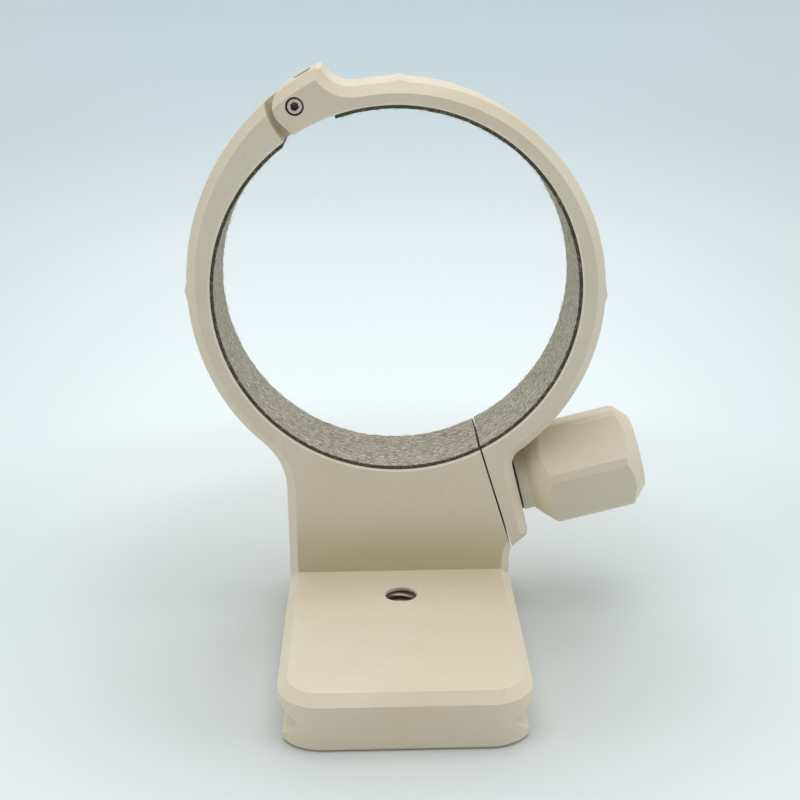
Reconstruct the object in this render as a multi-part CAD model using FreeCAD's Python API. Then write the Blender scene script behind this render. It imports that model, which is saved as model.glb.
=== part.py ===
import FreeCAD, Part
import math
import os

# Hinged lens tripod collar standing on an L-shaped dovetail foot.
# Millimetres, +Z up, lens axis along Y, foot projecting towards -Y.
# Origin: underside of the foot, straight below the lens axis, at the middle
# of the ring's width.

V = FreeCAD.Vector

# Lens ring
LENS_RADIUS = 30.85          # felt surface that grips the lens
FELT_THICKNESS = 0.65
FELT_SETBACK = 0.6           # felt stops this far inside each ring face
FELT_FROM_HINGE = 5.0        # felt stops this far either side of the hinge axis
RING_WALL = 3.85             # mean metal wall, bore to outer surface
WALL_BIAS = 0.44             # outer circle moved this far towards the split
RING_WIDTH = 17.0            # along the lens axis
EDGE_CHAMFER = 1.6           # broad chamfer round the outer contour
BORE_CHAMFER = 0.2           # small break on the bore edges
INDEX_RIDGE_HEIGHT = 0.42    # quarter-turn index ridges on the ring
INDEX_RIDGE_WIDTH = 4.0
INDEX_RIDGE_DEG = -1.3       # first ridge from the +X direction

# Swelling of the ring towards the hinge
SWELL = 4.65                 # extra radius of the outer contour there
SWELL_ROOT_DEG = 200.8       # where the swelling leaves the round ring
HORN_ROOT_DEG = 100.0        # where the swelling ends on the arm
HORN_ROOT_RADIUS = 5.8
HORN_TIP_RADIUS = 0.9

# Hinge
HINGE_DEG = 117.25           # position of the hinge axis on the ring
EAR_RADIUS = 3.62
EAR_THICKNESS = 4.9
EAR_SIDE_GAP = 0.1           # ear to tongue, each side
TONGUE_RADIUS = 3.6
SLOT_REACH = 4.5             # slot end wall beyond the hinge axis
SHOULDER_REACH = 4.75        # base shoulder behind the hinge axis
SHOULDER_RADIUS = 14.0       # hollow of the shoulder
HINGE_PIN_RADIUS = 1.5
HINGE_RUNNING_FIT = 0.04     # pin in the tongue, radial
HINGE_EAR_FIT = 0.02         # pin in the ears, radial
HINGE_BLIND_WALL = 1.2       # metal left behind the blind hole
GRUB_LENGTH = 2.4
GRUB_RECESS = 0.3            # below the front face of the ear
GRUB_SOCKET_FLATS = 1.3
GRUB_SOCKET_DEPTH = 1.2
GRUB_THREAD_GAP = 0.05       # screw flank to hole, radial
EAR_TIP_DEG = 228.5          # where the ear's round runs out to the bore

# Split and clamping lug
SPLIT_TILT_DEG = 16.8        # split face from the vertical
SPLIT_LENGTH = 20.0          # bore to outer end of the split
SPLIT_GAP = 0.3
LUG_TILT_DEG = 13.7          # clamp screw above the horizontal
LUG_THICKNESS = 4.12         # on the axis of the clamp screw
LUG_BELOW_SCREW = 7.9
LUG_TIP_RADIUS = 2.2
LUG_ROOT_RADIUS = 2.7
SCREW_BELOW_RING = 5.6       # clamp screw axis below the ring's outer radius

# Pedestal
PEDESTAL_HEIGHT = 15.45      # foot to the lowest level of a centred ring
PEDESTAL_ROOT_RADIUS = 11.5  # sweep from the ring into the pedestal
PEDESTAL_LIP = 0.45          # small flare under the end of the split
PEDESTAL_LIP_HEIGHT = 2.6    # end of the split to the foot of the flare

# Dovetail foot
FOOT_WIDTH = 39.5            # across the upper lips
FOOT_LENGTH = 61.0           # rear of the ring to the toe
FOOT_THICKNESS = 9.2
FOOT_CORNER_RADIUS = 7.0
DOVETAIL_WIDTH = 38.0        # across the bottom of the dovetail
GROOVE_WIDTH = 33.2          # across the floors of the side grooves
DOVETAIL_EDGE = 1.3          # upright edge below the dovetail slope
GROOVE_FLOOR = 0.9
LIP_EDGE = 1.2               # upright edge of the upper lip
BOTTOM_CHAMFER = 0.5
TRIPOD_HOLE_SETBACK = 9.2    # ahead of the ring's front face
TRIPOD_THREAD_RADIUS = 3.175
TRIPOD_HOLE_CHAMFER = 0.45

# Clamp screw
STUD_THREAD_RADIUS = 2.5
STUD_THREAD_DEPTH = 0.46     # crest to root
STUD_INTO_BASE = 15.0        # from the split to the tip of the stud
STUD_HOLE_CLEARANCE = 0.3
STUD_TIP_CHAMFER = 0.6
COUNTERBORE_RADIUS = 5.2     # room for the clip while the arm swings
COUNTERBORE_DEPTH = 9.5
BUSH_RADIUS = 3.7
BUSH_LENGTH = 7.5
BUSH_CHAMFER = 0.3
CLIP_RADIUS = 3.4
CLIP_THICKNESS = 0.7
CLIP_DEPTH = 5.4             # clip below the split when screwed home
CLIP_GROOVE_DEPTH = 0.35
CLIP_OPENING = 2.6
CLIP_POCKET_RADIUS = 3.9
CLIP_POCKET_DEPTH = 1.5
WASHER_RADIUS = 5.4
WASHER_THICKNESS = 0.4
WASHER_CLEARANCE = 0.25

# Knob
KNOB_SIDES = 6
KNOB_FLATS = 17.3            # across opposite flats
KNOB_CORNER_RADIUS = 9.58    # narrow flats cut on the corners
KNOB_TURN_DEG = 12.5         # a corner above the -Y direction
KNOB_NECK_RADIUS = 5.65
KNOB_NECK_END = 2.3          # distances from the lug along the axis
KNOB_STEP_RADIUS = 7.2
KNOB_STEP_END = 3.65
KNOB_CONE_END = 6.45
KNOB_BODY_END = 19.4
KNOB_END = 22.5
KNOB_END_RADIUS = 6.5
KNOB_TURNED_RADIUS = 9.9
STUD_INTO_KNOB = 13.0

# Derived sizes
BORE_RADIUS = LENS_RADIUS + FELT_THICKNESS
RING_RADIUS = BORE_RADIUS + RING_WALL
AXIS_HEIGHT = FOOT_THICKNESS + PEDESTAL_HEIGHT + RING_RADIUS
HALF_WIDTH = RING_WIDTH / 2.0
SWELL_RADIUS = RING_RADIUS + SWELL
SLOT_HALF = HALF_WIDTH - EAR_THICKNESS
TONGUE_HALF = SLOT_HALF - EAR_SIDE_GAP
SCREW_DROP = RING_RADIUS + SCREW_BELOW_RING
FAR = 4.0 * RING_RADIUS


def polar(radius, deg):
    """Point round the lens axis, as (x, z) from that axis."""
    a = math.radians(deg)
    return (radius * math.cos(a), radius * math.sin(a))


def along(start, direction, distance):
    return (start[0] + direction[0] * distance, start[1] + direction[1] * distance)


def at(point, y=0.0):
    """Model position of a point given as (x, z) from the lens axis."""
    return V(point[0], y, AXIS_HEIGHT + point[1])


def clamp_point(u, v):
    """Point along (u) and across (v) the clamp screw, as (x, z)."""
    a = math.radians(LUG_TILT_DEG)
    return (u * math.cos(a) - v * math.sin(a), u * math.sin(a) + v * math.cos(a))


def on_ring(radius, deg):
    """Point round the centre of the outer circle, as (x, z) from the lens axis."""
    return along(RING_CENTRE, polar(1.0, deg), radius)


def circle_point(centre, radius, deg):
    """Point of a circle in a direction from the lens axis."""
    ray = polar(1.0, deg)
    ahead = centre[0] * ray[0] + centre[1] * ray[1]
    aside = centre[0] * ray[1] - centre[1] * ray[0]
    return polar(ahead + math.sqrt(radius * radius - aside * aside), deg)


HINGE = polar(RING_RADIUS, HINGE_DEG)
OUTWARD = polar(1.0, HINGE_DEG)
TO_BASE = polar(1.0, HINGE_DEG + 90.0)
RING_CENTRE = polar(WALL_BIAS, HINGE_DEG - 180.0)
SWELL_CENTRE = along(RING_CENTRE, polar(1.0, SWELL_ROOT_DEG - 180.0), SWELL)

SPLIT_TOP = polar(BORE_RADIUS, HINGE_DEG - 180.0)
SPLIT_DIR = (math.sin(math.radians(SPLIT_TILT_DEG)), -math.cos(math.radians(SPLIT_TILT_DEG)))
SPLIT_END = along(SPLIT_TOP, SPLIT_DIR, SPLIT_LENGTH)
SPLIT_NORMAL = (-SPLIT_DIR[1], SPLIT_DIR[0])

SCREW_DIR = clamp_point(1.0, 0.0)


def split_depth(point):
    """Distance of a point on the arm side of the split plane."""
    dx = point[0] - SPLIT_TOP[0]
    dz = point[1] - SPLIT_TOP[1]
    return dx * SPLIT_NORMAL[0] + dz * SPLIT_NORMAL[1]


SPLIT_ON_SCREW = -split_depth(clamp_point(0.0, -SCREW_DROP)) / (
    SCREW_DIR[0] * SPLIT_NORMAL[0] + SCREW_DIR[1] * SPLIT_NORMAL[1])
LUG_FACE = SPLIT_ON_SCREW + LUG_THICKNESS


def circle_meet(c1, r1, c2, r2, side):
    """Crossing of two circles; side picks which of the two."""
    dx = c2[0] - c1[0]
    dz = c2[1] - c1[1]
    d = math.hypot(dx, dz)
    a = (r1 * r1 - r2 * r2 + d * d) / (2.0 * d)
    h = side * math.sqrt(max(r1 * r1 - a * a, 0.0))
    return (c1[0] + (a * dx - h * dz) / d, c1[1] + (a * dz + h * dx) / d)


def arc_between(centre, radius, start, end, bulge):
    """Arc from start to end round a centre; bulge picks the side by a point."""
    dx = bulge[0] - centre[0]
    dz = bulge[1] - centre[1]
    d = math.hypot(dx, dz)
    middle = (centre[0] + dx * radius / d, centre[1] + dz * radius / d)
    return Part.Arc(at(start), at(middle), at(end)).toShape()


def line(start, end):
    return Part.makeLine(at(start), at(end))


def plate(face, y0, y1):
    """A flat outline in the plane of the ring, given thickness along Y."""
    face = face.copy()
    face.translate(V(0, y0, 0))
    return face.extrude(V(0, y1 - y0, 0))


def polygon(points, y0, y1):
    outline = Part.makePolygon([at(p) for p in points] + [at(points[0])])
    return plate(Part.Face(outline), y0, y1)


def disc(centre, radius, y0, y1):
    """Cylinder along Y round a point given as (x, z)."""
    return Part.makeCylinder(radius, y1 - y0, at(centre, y0), V(0, 1, 0))


def rod(radius, start, end):
    """Cylinder along the clamp screw, between two distances on its axis."""
    return Part.makeCylinder(radius, end - start, screw_point(start), screw_axis())


def screw_point(u):
    return at(clamp_point(u, -SCREW_DROP))


def screw_axis():
    return V(SCREW_DIR[0], 0, SCREW_DIR[1])


def turned(profile):
    """Body of revolution on the clamp screw axis from (distance, radius) pairs."""
    across = clamp_point(0.0, 1.0)
    side = V(across[0], 0, across[1])
    points = [screw_point(u) + side * r for u, r in profile]
    face = Part.Face(Part.makePolygon(points + [points[0]]))
    return face.revolve(screw_point(0.0), screw_axis(), 360)


def swell_point(deg):
    """Point of the swollen contour in a direction from the lens axis."""
    return circle_point(SWELL_CENTRE, SWELL_RADIUS, deg)


def swell_contour():
    """Centre of the hollow below the horn, and the horn's tip."""
    hollow = on_ring(RING_RADIUS + HORN_ROOT_RADIUS, HORN_ROOT_DEG)
    tip = circle_meet(SWELL_CENTRE, SWELL_RADIUS, hollow, HORN_ROOT_RADIUS, 1.0)
    return hollow, tip


def pedestal_sweep():
    """Centre and ends of the sweep from the ring into the pedestal's left side."""
    half = FOOT_WIDTH / 2.0
    reach = RING_RADIUS + PEDESTAL_ROOT_RADIUS
    cx = -half - PEDESTAL_ROOT_RADIUS
    aside = cx - RING_CENTRE[0]
    cz = RING_CENTRE[1] - math.sqrt(reach * reach - aside * aside)
    ring_end = along(RING_CENTRE, unit(RING_CENTRE, (cx, cz)), RING_RADIUS)
    return (cx, cz), ring_end, (-half, cz)


def lug_root():
    """Centre and ends of the fillet between the ring and the lug."""
    u = LUG_FACE + LUG_ROOT_RADIUS
    reach = RING_RADIUS + LUG_ROOT_RADIUS
    across = clamp_point(0.0, 1.0)
    ring_u = RING_CENTRE[0] * SCREW_DIR[0] + RING_CENTRE[1] * SCREW_DIR[1]
    ring_v = RING_CENTRE[0] * across[0] + RING_CENTRE[1] * across[1]
    v = ring_v - math.sqrt(reach * reach - (u - ring_u) ** 2)
    centre = clamp_point(u, v)
    ring_end = along(RING_CENTRE, unit(RING_CENTRE, centre), RING_RADIUS)
    return centre, ring_end, clamp_point(LUG_FACE, v)


def lug_corner():
    """Lower outer corner of the lug before it is rounded."""
    return clamp_point(LUG_FACE, -SCREW_DROP - LUG_BELOW_SCREW)


def chain_body(edges, soft):
    """Plate inside a closed chain of edges, chamfered along the soft ones."""
    face = Part.Face(Part.Wire(edges))
    body = plate(face, -HALF_WIDTH, HALF_WIDTH)
    marks = [e.CenterOfMass for e in soft]
    rims = []
    for edge in body.Edges:
        box = edge.BoundBox
        if box.YLength > 1e-6:
            continue
        middle = edge.CenterOfMass
        flat = V(middle.x, 0, middle.z)
        if min((flat - m).Length for m in marks) < 1e-4:
            rims.append(edge)
    return body.makeChamfer(EDGE_CHAMFER, rims)


def base_blank():
    """Chamfered plate for the standing half: left side of the ring, pedestal."""
    half = FOOT_WIDTH / 2.0
    floor = FOOT_THICKNESS - EDGE_CHAMFER - LIP_EDGE / 2.0 - AXIS_HEIGHT
    sweep, ring_left, side_left = pedestal_sweep()
    root = on_ring(RING_RADIUS, SWELL_ROOT_DEG)
    swell_end = swell_point(HORN_ROOT_DEG)
    lip_radius = (PEDESTAL_LIP ** 2 + PEDESTAL_LIP_HEIGHT ** 2) / (2.0 * PEDESTAL_LIP)
    lip_low = SPLIT_END[1] - PEDESTAL_LIP_HEIGHT
    lip_centre = (half + lip_radius, lip_low)
    lip_top = along(lip_centre, polar(1.0, 140.0), lip_radius)
    edges = [
        line((-half, floor), side_left),
        arc_between(sweep, PEDESTAL_ROOT_RADIUS, side_left, ring_left,
                    midway(side_left, ring_left)),
        arc_between(RING_CENTRE, RING_RADIUS, ring_left, root,
                    on_ring(FAR, (SWELL_ROOT_DEG + 230.0) / 2.0)),
        arc_between(SWELL_CENTRE, SWELL_RADIUS, root, swell_end, polar(FAR, 150.0)),
        line(swell_end, (0.0, BORE_RADIUS * 0.3)),
        line((0.0, BORE_RADIUS * 0.3), lip_top),
        arc_between(lip_centre, lip_radius, lip_top, (half, lip_low), polar(FAR, 180.0)),
        line((half, lip_low), (half, floor)),
        line((half, floor), (-half, floor)),
    ]
    soft = edges[:4] + edges[6:8]
    body = chain_body(edges, soft)
    ridge = index_ridge(INDEX_RIDGE_DEG + 180.0, SWELL_CENTRE, SWELL_RADIUS)
    return finish_ring(body, [ridge])


def arm_blank():
    """Chamfered plate for the swinging half: horn, ring and lug."""
    hollow, tip = swell_contour()
    horn_end = on_ring(RING_RADIUS, HORN_ROOT_DEG)
    fillet, ring_right, lug_top = lug_root()
    corner = lug_corner()
    past = along(SPLIT_END, unit(corner, SPLIT_END), 4.0)
    swell_start = swell_point(HINGE_DEG + 20.0)
    edges = [
        arc_between(SWELL_CENTRE, SWELL_RADIUS, swell_start, tip, polar(FAR, HINGE_DEG)),
        arc_between(hollow, HORN_ROOT_RADIUS, tip, horn_end, midway(tip, horn_end)),
        arc_between(RING_CENTRE, RING_RADIUS, horn_end, ring_right, on_ring(FAR, 20.0)),
        arc_between(fillet, LUG_ROOT_RADIUS, ring_right, lug_top, midway(ring_right, lug_top)),
        line(lug_top, corner),
        line(corner, past),
        line(past, (0.0, -BORE_RADIUS * 0.3)),
        line((0.0, -BORE_RADIUS * 0.3), swell_start),
    ]
    body = chain_body(edges, edges[:6])
    body = body.cut(horn_tip_round()).cut(lug_tip_round())
    ridges = [index_ridge(INDEX_RIDGE_DEG + turn, RING_CENTRE, RING_RADIUS)
              for turn in (0.0, 90.0)]
    return finish_ring(body, ridges)


def midway(a, b):
    return ((a[0] + b[0]) / 2.0, (a[1] + b[1]) / 2.0)


def unit(a, b):
    """Direction from a to b."""
    d = math.hypot(b[0] - a[0], b[1] - a[1])
    return ((b[0] - a[0]) / d, (b[1] - a[1]) / d)


def corner_round(corner, back_one, back_two, radius):
    """Cutter that rounds a sharp corner between two directions leading away."""
    cosine = back_one[0] * back_two[0] + back_one[1] * back_two[1]
    half = math.acos(cosine) / 2.0
    run = radius / math.tan(half)
    middle = unit((0.0, 0.0), (back_one[0] + back_two[0], back_one[1] + back_two[1]))
    centre = along(corner, middle, radius / math.sin(half))
    beyond = along(corner, middle, -radius)
    wedge = polygon([along(corner, back_one, run), centre, along(corner, back_two, run),
                     beyond], -FAR, FAR)
    return wedge.cut(disc(centre, radius, -FAR, FAR))


def horn_tip_round():
    """Softens the corner where the swelling ends on the arm."""
    hollow, tip = swell_contour()
    outward = unit(SWELL_CENTRE, tip)
    back = (-outward[1], outward[0])
    inward = unit(hollow, tip)
    down = (-inward[1], inward[0])
    if down[1] > 0.0:
        down = (-down[0], -down[1])
    return corner_round(tip, back, down, HORN_TIP_RADIUS)


def lug_tip_round():
    """Rounds the lower outer corner of the lug."""
    corner = lug_corner()
    up = clamp_point(0.0, 1.0)
    return corner_round(corner, up, unit(corner, SPLIT_END), LUG_TIP_RADIUS)


def finish_ring(body, ridges):
    """Index ridges, bore and the small breaks on the bore edges."""
    for ridge in ridges:
        body = body.fuse(ridge)
    body = body.cut(disc((0.0, 0.0), BORE_RADIUS, -FAR, FAR))
    for side in (-1.0, 1.0):
        body = body.cut(bore_break(side))
    return body


def index_ridge(deg, centre, radius):
    """Pointed ridge across an outer circle, its ends in the plane of the chamfers."""
    top = circle_point(centre, radius, deg)
    out = unit(centre, top)
    aside = (-out[1], out[0])
    half = INDEX_RIDGE_WIDTH / 2.0
    sunk = half * half / (2.0 * radius) + 0.05
    low = along(top, out, -sunk)
    root = along(top, out, -sunk - 0.5)
    crest = polygon([along(root, aside, half), along(low, aside, half),
                     along(top, out, INDEX_RIDGE_HEIGHT),
                     along(low, aside, -half), along(root, aside, -half)],
                    -HALF_WIDTH, HALF_WIDTH)
    reach = radius + HALF_WIDTH - EDGE_CHAMFER
    cone = Part.makeCone(reach, 0.0, reach, at(centre), V(0, 1, 0))
    mirrored = Part.makeCone(reach, 0.0, reach, at(centre), V(0, -1, 0))
    return crest.common(cone.fuse(mirrored))


def bore_break(side):
    """Small chamfer where the bore meets a face."""
    reach = BORE_CHAMFER + 0.2
    start = at((0.0, 0.0), side * (HALF_WIDTH - BORE_CHAMFER))
    return Part.makeCone(BORE_RADIUS, BORE_RADIUS + reach, reach, start, V(0, side, 0))


def ring_half(points):
    return polygon(points, -FAR, FAR)


def split_edge(offset):
    """Top and bottom of the split, moved towards the arm by an offset."""
    top = along(along(SPLIT_TOP, SPLIT_DIR, -0.5 * BORE_RADIUS), SPLIT_NORMAL, offset)
    bottom = along(along(SPLIT_TOP, SPLIT_DIR, SPLIT_LENGTH + 2.0), SPLIT_NORMAL, offset)
    return top, bottom


def hinge_point(to_base, outward):
    """Point measured from the hinge axis towards the base and outwards."""
    return along(along(HINGE, TO_BASE, to_base), OUTWARD, outward)


def clamp_arm(stock):
    """Swinging half with two hinge ears and the clamping lug."""
    top, bottom = split_edge(SPLIT_GAP / 2.0)
    runout = polar(1.0, EAR_TIP_DEG)
    tangent = along(HINGE, runout, EAR_RADIUS)
    slope = polar(1.0, EAR_TIP_DEG + 90.0)
    inside = along(tangent, slope, BORE_RADIUS * 0.35)
    region = ring_half([HINGE, hinge_point(0.0, FAR), (FAR, FAR), (FAR, bottom[1] - 2.0),
                        along(bottom, SPLIT_DIR, 2.0), top, inside, tangent])
    region = region.fuse(disc(HINGE, EAR_RADIUS, -FAR, FAR))
    arm = stock.common(region)
    slot = polygon([hinge_point(-SLOT_REACH, FAR), hinge_point(-SLOT_REACH, -RING_WALL * 3.0),
                    hinge_point(FAR, -RING_WALL * 3.0), hinge_point(FAR, FAR)],
                   -SLOT_HALF, SLOT_HALF)
    arm = arm.cut(slot)
    back = HALF_WIDTH - HINGE_BLIND_WALL
    arm = arm.cut(disc(HINGE, HINGE_PIN_RADIUS + HINGE_EAR_FIT, -FAR, back))
    hole = STUD_THREAD_RADIUS + STUD_HOLE_CLEARANCE
    arm = arm.cut(rod(hole, SPLIT_ON_SCREW - 3.0, LUG_FACE + 1.0))
    pocket = rod(CLIP_POCKET_RADIUS, SPLIT_ON_SCREW - 3.0, SPLIT_ON_SCREW + CLIP_POCKET_DEPTH)
    return arm.cut(pocket)


def base_half(stock):
    """Standing half of the ring with its tongue and the pedestal."""
    top, bottom = split_edge(-SPLIT_GAP / 2.0)
    region = ring_half([HINGE, hinge_point(0.0, FAR), (-FAR, FAR), (-FAR, -FAR), (FAR, -FAR),
                        (FAR, bottom[1]), bottom, top,
                        hinge_point(0.0, -BORE_RADIUS * 0.4)])
    tongue = disc(HINGE, TONGUE_RADIUS, -TONGUE_HALF, TONGUE_HALF)
    tongue = stock.common(tongue)
    body = stock.common(region)
    hollow = hinge_point(SHOULDER_REACH - SHOULDER_RADIUS, -0.8)
    for y0, y1 in ((-FAR, -TONGUE_HALF), (TONGUE_HALF, FAR)):
        body = body.cut(disc(hollow, SHOULDER_RADIUS, y0, y1))
    body = body.fuse(tongue)
    pin_hole = HINGE_PIN_RADIUS + HINGE_RUNNING_FIT
    return body.cut(disc(HINGE, pin_hole, -FAR, FAR))


def foot():
    """Dovetail foot: chamfered slab with a groove along each side."""
    half = FOOT_WIDTH / 2.0
    toe = HALF_WIDTH - FOOT_LENGTH
    slab = Part.makeBox(FOOT_WIDTH, FOOT_LENGTH, FOOT_THICKNESS, V(-half, toe, 0))
    toes = [e for e in slab.Edges if e.BoundBox.ZLength > FOOT_THICKNESS - 1e-6
            and e.BoundBox.YMax < toe + 1e-6]
    slab = slab.makeFillet(FOOT_CORNER_RADIUS, toes)
    slab = slab.makeChamfer(EDGE_CHAMFER, heel_edges(slab, FOOT_THICKNESS))
    upper = [e for e in slab.Edges if e.BoundBox.ZMin > FOOT_THICKNESS - 1e-6]
    slab = slab.makeChamfer(EDGE_CHAMFER, upper)
    for side in (-1.0, 1.0):
        slab = slab.cut(side_groove(side))
    return slab.cut(bottom_break(slab))


def heel_edges(body, height):
    """Upright edges at the rear of the foot."""
    return [e for e in body.Edges if e.BoundBox.ZLength > height - 1e-6
            and e.BoundBox.YMin > HALF_WIDTH - 1e-6]


def side_groove(side):
    """Cutter for the dovetail groove and the narrower bottom of one side."""
    lip = FOOT_WIDTH / 2.0
    bottom = DOVETAIL_WIDTH / 2.0
    floor = GROOVE_WIDTH / 2.0
    slope_top = DOVETAIL_EDGE + bottom - floor
    floor_top = slope_top + GROOVE_FLOOR
    lip_bottom = FOOT_THICKNESS - EDGE_CHAMFER - LIP_EDGE
    outline = [(lip + 5.0, -1.0), (bottom, -1.0), (bottom, DOVETAIL_EDGE), (floor, slope_top),
               (floor, floor_top), (lip, lip_bottom), (lip + 5.0, lip_bottom)]
    points = [V(side * x, -FAR, z) for x, z in outline]
    face = Part.Face(Part.makePolygon(points + [points[0]]))
    return face.extrude(V(0, 2.0 * FAR, 0))


def bottom_break(slab):
    """Everything outside a small chamfer round the bottom of the foot."""
    half = DOVETAIL_WIDTH / 2.0
    toe = HALF_WIDTH - FOOT_LENGTH
    radius = FOOT_CORNER_RADIUS - (FOOT_WIDTH - DOVETAIL_WIDTH) / 2.0
    size = 2.0 * half
    keep = Part.makeBox(size, FOOT_LENGTH, BOTTOM_CHAMFER * 3.0, V(-half, toe, 0))
    toes = [e for e in keep.Edges if e.BoundBox.ZLength > BOTTOM_CHAMFER
            and e.BoundBox.YMax < toe + 1e-6]
    keep = keep.makeFillet(radius, toes)
    keep = keep.makeChamfer(EDGE_CHAMFER, heel_edges(keep, BOTTOM_CHAMFER * 3.0))
    rim = [e for e in keep.Edges if e.BoundBox.ZMax < 1e-6]
    keep = keep.makeChamfer(BOTTOM_CHAMFER, rim)
    skin = Part.makeBox(size + 20.0, FOOT_LENGTH + 20.0, BOTTOM_CHAMFER,
                        V(-half - 10.0, toe - 10.0, 0))
    return skin.cut(keep)


def base_body(stock):
    """Standing half, pedestal and dovetail foot machined as one piece."""
    body = base_half(stock).fuse(foot()).removeSplitter()
    tripod = V(0, -HALF_WIDTH - TRIPOD_HOLE_SETBACK, 0)
    body = body.cut(Part.makeCylinder(TRIPOD_THREAD_RADIUS, FOOT_THICKNESS * 2.0,
                                      tripod - V(0, 0, FOOT_THICKNESS * 0.5)))
    wide = TRIPOD_THREAD_RADIUS + TRIPOD_HOLE_CHAMFER
    upper = Part.makeCone(TRIPOD_THREAD_RADIUS, wide, TRIPOD_HOLE_CHAMFER,
                          tripod + V(0, 0, FOOT_THICKNESS - TRIPOD_HOLE_CHAMFER))
    lower = Part.makeCone(wide, TRIPOD_THREAD_RADIUS, TRIPOD_HOLE_CHAMFER, tripod)
    body = body.cut(upper).cut(lower)
    floor = SPLIT_ON_SCREW - COUNTERBORE_DEPTH
    body = body.cut(rod(COUNTERBORE_RADIUS, floor, SPLIT_ON_SCREW + 3.0))
    body = body.cut(rod(BUSH_RADIUS, floor - BUSH_LENGTH, floor + 0.5))
    deep = STUD_THREAD_RADIUS + STUD_HOLE_CLEARANCE
    return body.cut(rod(deep, floor - BUSH_LENGTH - 2.0, floor))


def felt_strip(start_deg, end_deg):
    """Felt lining glued to the bore between two angles."""
    y_half = HALF_WIDTH - FELT_SETBACK
    band = disc((0.0, 0.0), BORE_RADIUS, -y_half, y_half)
    band = band.cut(disc((0.0, 0.0), LENS_RADIUS, -FAR, FAR))
    quarter = (end_deg - start_deg) / 4.0
    points = [(0.0, 0.0)]
    for step in range(5):
        points.append(polar(FAR, start_deg + quarter * step))
    return band.common(polygon(points, -FAR, FAR))


def base_felt():
    start = HINGE_DEG + math.degrees(FELT_FROM_HINGE / BORE_RADIUS)
    end = HINGE_DEG + 180.0 - math.degrees(SPLIT_GAP / 2.0 / BORE_RADIUS)
    return felt_strip(start, end)


def arm_felt():
    start = HINGE_DEG - 180.0 + math.degrees(SPLIT_GAP / 2.0 / BORE_RADIUS)
    end = HINGE_DEG - math.degrees(FELT_FROM_HINGE / BORE_RADIUS)
    return felt_strip(start, end)


def hinge_pin():
    """Plain dowel through the tongue, closed in by the grub screw."""
    front = -HALF_WIDTH + GRUB_RECESS + GRUB_LENGTH
    back = HALF_WIDTH - HINGE_BLIND_WALL
    pin = disc(HINGE, HINGE_PIN_RADIUS, front, back)
    ends = [e for e in pin.Edges if e.BoundBox.YLength < 1e-6]
    return pin.makeChamfer(0.2, ends)


def hinge_grub_screw():
    """Socket set screw seen in the front ear."""
    front = -HALF_WIDTH + GRUB_RECESS
    radius = HINGE_PIN_RADIUS + HINGE_EAR_FIT - GRUB_THREAD_GAP
    screw = disc(HINGE, radius, front, front + GRUB_LENGTH)
    face = [e for e in screw.Edges if e.BoundBox.YMax < front + 1e-6]
    screw = screw.makeChamfer(0.3, face)
    corner = GRUB_SOCKET_FLATS / 2.0 / math.cos(math.radians(30.0))
    points = []
    for step in range(6):
        offset = polar(corner, 60.0 * step + 12.0)
        points.append((HINGE[0] + offset[0], HINGE[1] + offset[1]))
    socket = polygon(points, front - 1.0, front + GRUB_SOCKET_DEPTH)
    return screw.cut(socket)


def clamp_knob():
    """Hexagonal knob with cut corners, turned neck and coned ends."""
    start = LUG_FACE + WASHER_THICKNESS
    profile = [(start, 0.0), (start, KNOB_NECK_RADIUS),
               (LUG_FACE + KNOB_NECK_END, KNOB_NECK_RADIUS),
               (LUG_FACE + KNOB_STEP_END, KNOB_STEP_RADIUS),
               (LUG_FACE + KNOB_CONE_END, KNOB_TURNED_RADIUS),
               (LUG_FACE + KNOB_BODY_END, KNOB_TURNED_RADIUS),
               (LUG_FACE + KNOB_END, KNOB_END_RADIUS), (LUG_FACE + KNOB_END, 0.0)]
    knob = turned(profile)
    knob = knob.common(knob_prism(KNOB_FLATS / 2.0, 0.0))
    knob = knob.common(knob_prism(KNOB_CORNER_RADIUS, 180.0 / KNOB_SIDES))
    hole = rod(STUD_THREAD_RADIUS, start - 1.0, start + STUD_INTO_KNOB)
    return knob.cut(hole).removeSplitter()


def knob_prism(inradius, turn_deg):
    """Prism round the knob's axis with a given inner radius."""
    pitch = 2.0 * math.pi / KNOB_SIDES
    corner = inradius / math.cos(pitch / 2.0)
    across = clamp_point(0.0, 1.0)
    up = V(across[0], 0, across[1])
    front = V(0, -1, 0)
    middle = screw_point(LUG_FACE - 1.0)
    points = []
    for side in range(KNOB_SIDES):
        a = math.radians(KNOB_TURN_DEG + turn_deg) + pitch * side
        points.append(middle + front * (corner * math.cos(a)) + up * (corner * math.sin(a)))
    face = Part.Face(Part.makePolygon(points + [points[0]]))
    return face.extrude(screw_axis() * (KNOB_END + 2.0))


def clamp_stud():
    """Steel stud fixed in the knob; the threaded end is drawn at its root."""
    root = STUD_THREAD_RADIUS - STUD_THREAD_DEPTH
    tip = SPLIT_ON_SCREW - STUD_INTO_BASE
    clip = SPLIT_ON_SCREW - CLIP_DEPTH
    half = CLIP_THICKNESS / 2.0 + 0.05
    groove = root - CLIP_GROOVE_DEPTH
    shank = LUG_FACE + WASHER_THICKNESS
    neck = SPLIT_ON_SCREW + CLIP_POCKET_DEPTH
    profile = [(tip, 0.0), (tip, root - STUD_TIP_CHAMFER), (tip + STUD_TIP_CHAMFER, root),
               (clip - half, root), (clip - half, groove), (clip + half, groove),
               (clip + half, root), (neck, root), (neck, STUD_THREAD_RADIUS),
               (shank + STUD_INTO_KNOB, STUD_THREAD_RADIUS), (shank + STUD_INTO_KNOB, 0.0)]
    return turned(profile)


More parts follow.
